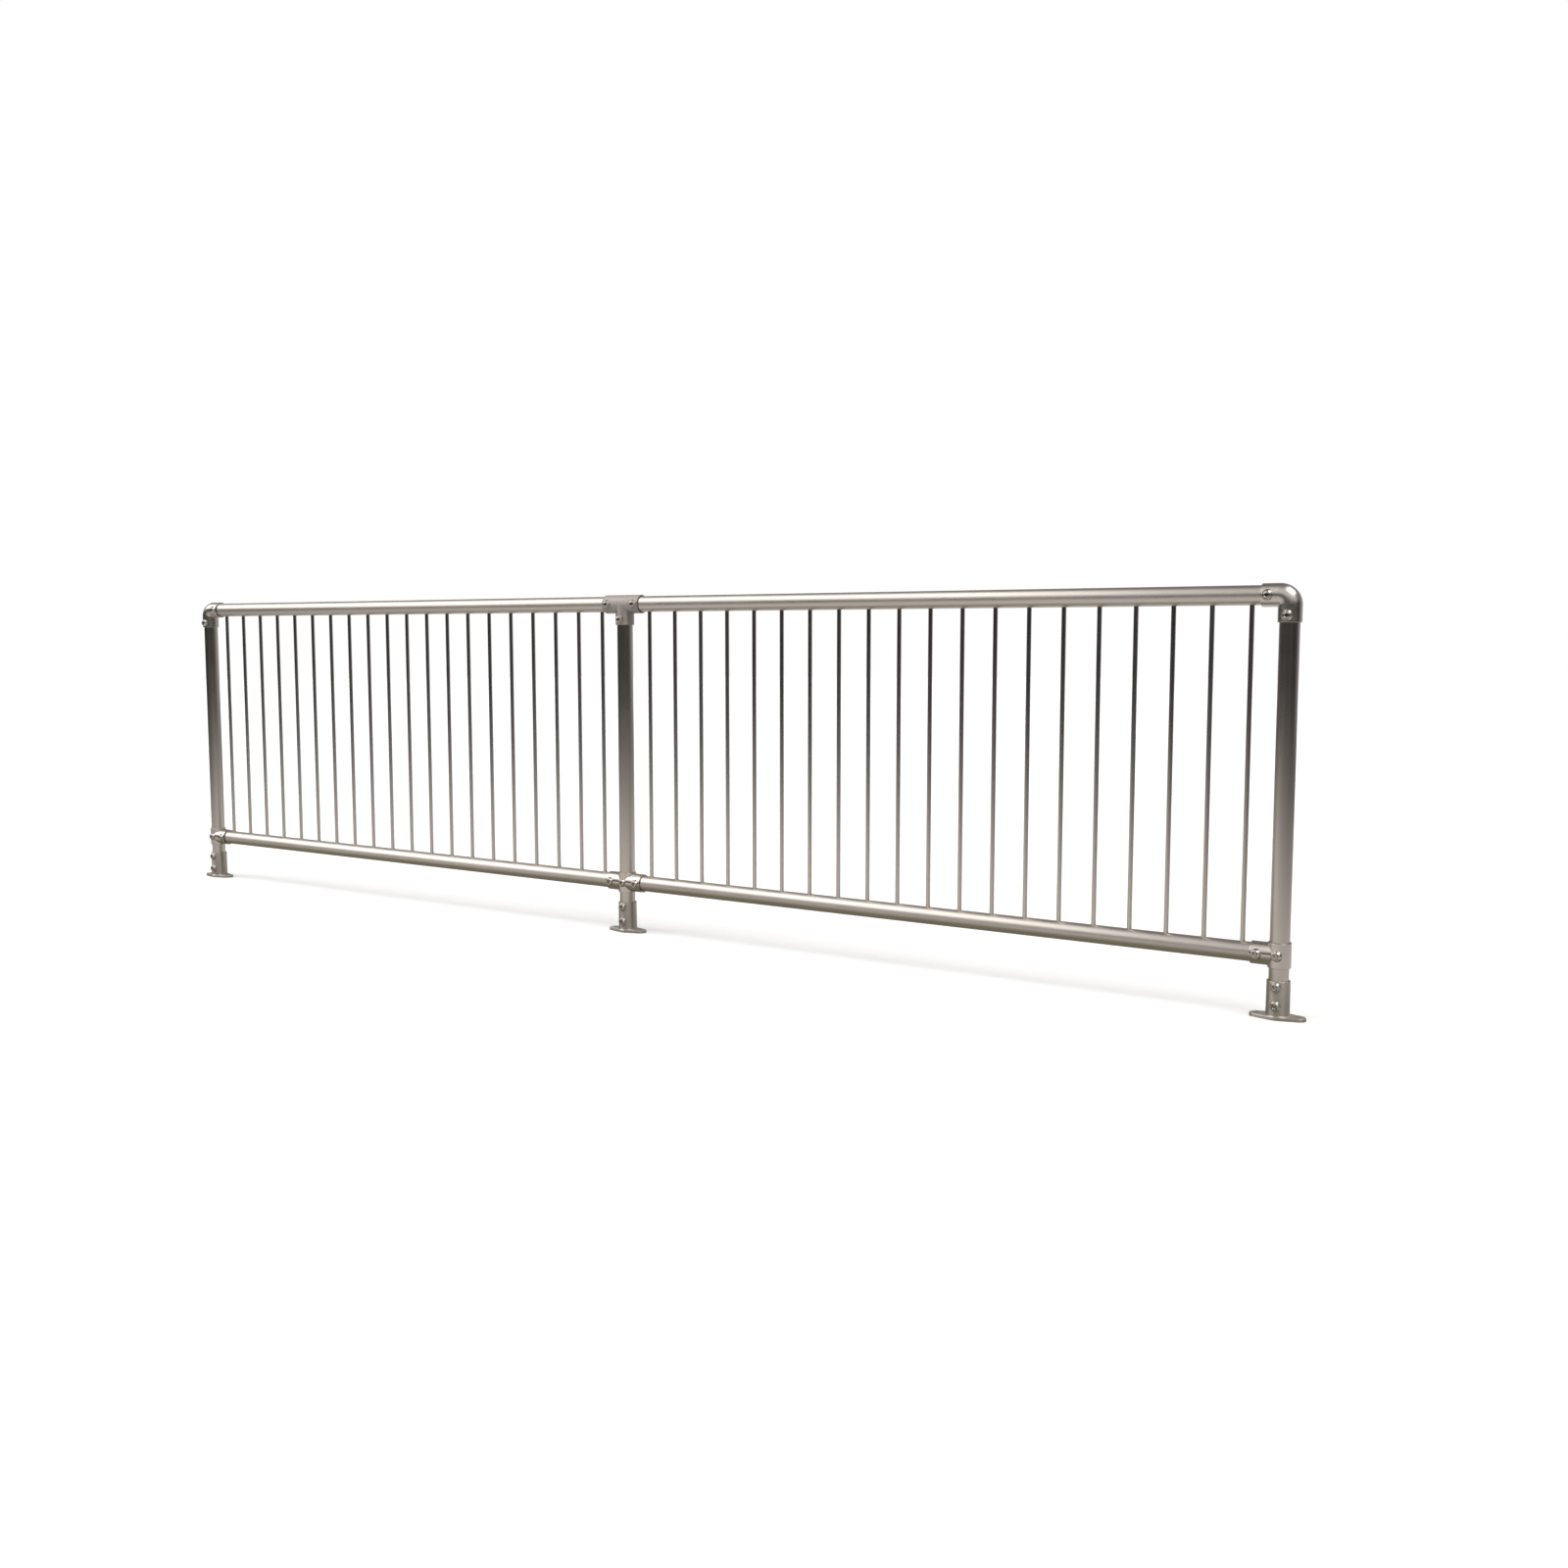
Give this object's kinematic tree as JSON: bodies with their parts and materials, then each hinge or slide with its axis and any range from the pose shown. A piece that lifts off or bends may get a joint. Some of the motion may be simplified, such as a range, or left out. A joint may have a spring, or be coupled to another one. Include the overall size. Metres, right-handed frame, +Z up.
{
  "type": "crowd control barrier",
  "caption": "Two-bay tubular crowd control railing with vertical bars, socket fittings and bolt-down oval feet.",
  "frame": {"origin": "on the ground, on the middle post's axis", "axes": "+X along the railing to the right as seen from the set screws' side, +Y away from the set screws, +Z up"},
  "size_m": [4.201, 0.0679, 1.0565],
  "materials": {
    "tube": "fine brushed satin",
    "bar": "satin",
    "casting": "satin cast",
    "set_screw": "polished"
  },
  "bodies": {
    "root": {"post_left": "tube", "base_flange_left": "casting", "set_screws_left": "set_screw", "post_middle": "tube", "base_flange_middle": "casting", "set_screws_middle": "set_screw", "post_right": "tube", "base_flange_right": "casting", "set_screws_right": "set_screw", "long_tee": "casting", "two_socket_cross": "casting", "elbow_left": "casting", "short_tee_left": "casting", "top_rail_left": "tube", "bottom_rail_left": "tube", "bar_left_01": "bar", "bar_left_02": "bar", "bar_left_03": "bar", "bar_left_04": "bar", "bar_left_05": "bar", "bar_left_06": "bar", "bar_left_07": "bar", "bar_left_08": "bar", "bar_left_09": "bar", "bar_left_10": "bar", "bar_left_11": "bar", "bar_left_12": "bar", "bar_left_13": "bar", "bar_left_14": "bar", "bar_left_15": "bar", "bar_left_16": "bar", "bar_left_17": "bar", "bar_left_18": "bar", "bar_left_19": "bar", "bar_left_20": "bar", "elbow_right": "casting", "short_tee_right": "casting", "top_rail_right": "tube", "bottom_rail_right": "tube", "bar_right_01": "bar", "bar_right_02": "bar", "bar_right_03": "bar", "bar_right_04": "bar", "bar_right_05": "bar", "bar_right_06": "bar", "bar_right_07": "bar", "bar_right_08": "bar", "bar_right_09": "bar", "bar_right_10": "bar", "bar_right_11": "bar", "bar_right_12": "bar", "bar_right_13": "bar", "bar_right_14": "bar", "bar_right_15": "bar", "bar_right_16": "bar", "bar_right_17": "bar", "bar_right_18": "bar", "bar_right_19": "bar", "bar_right_20": "bar"}
  },
  "joints": []
}
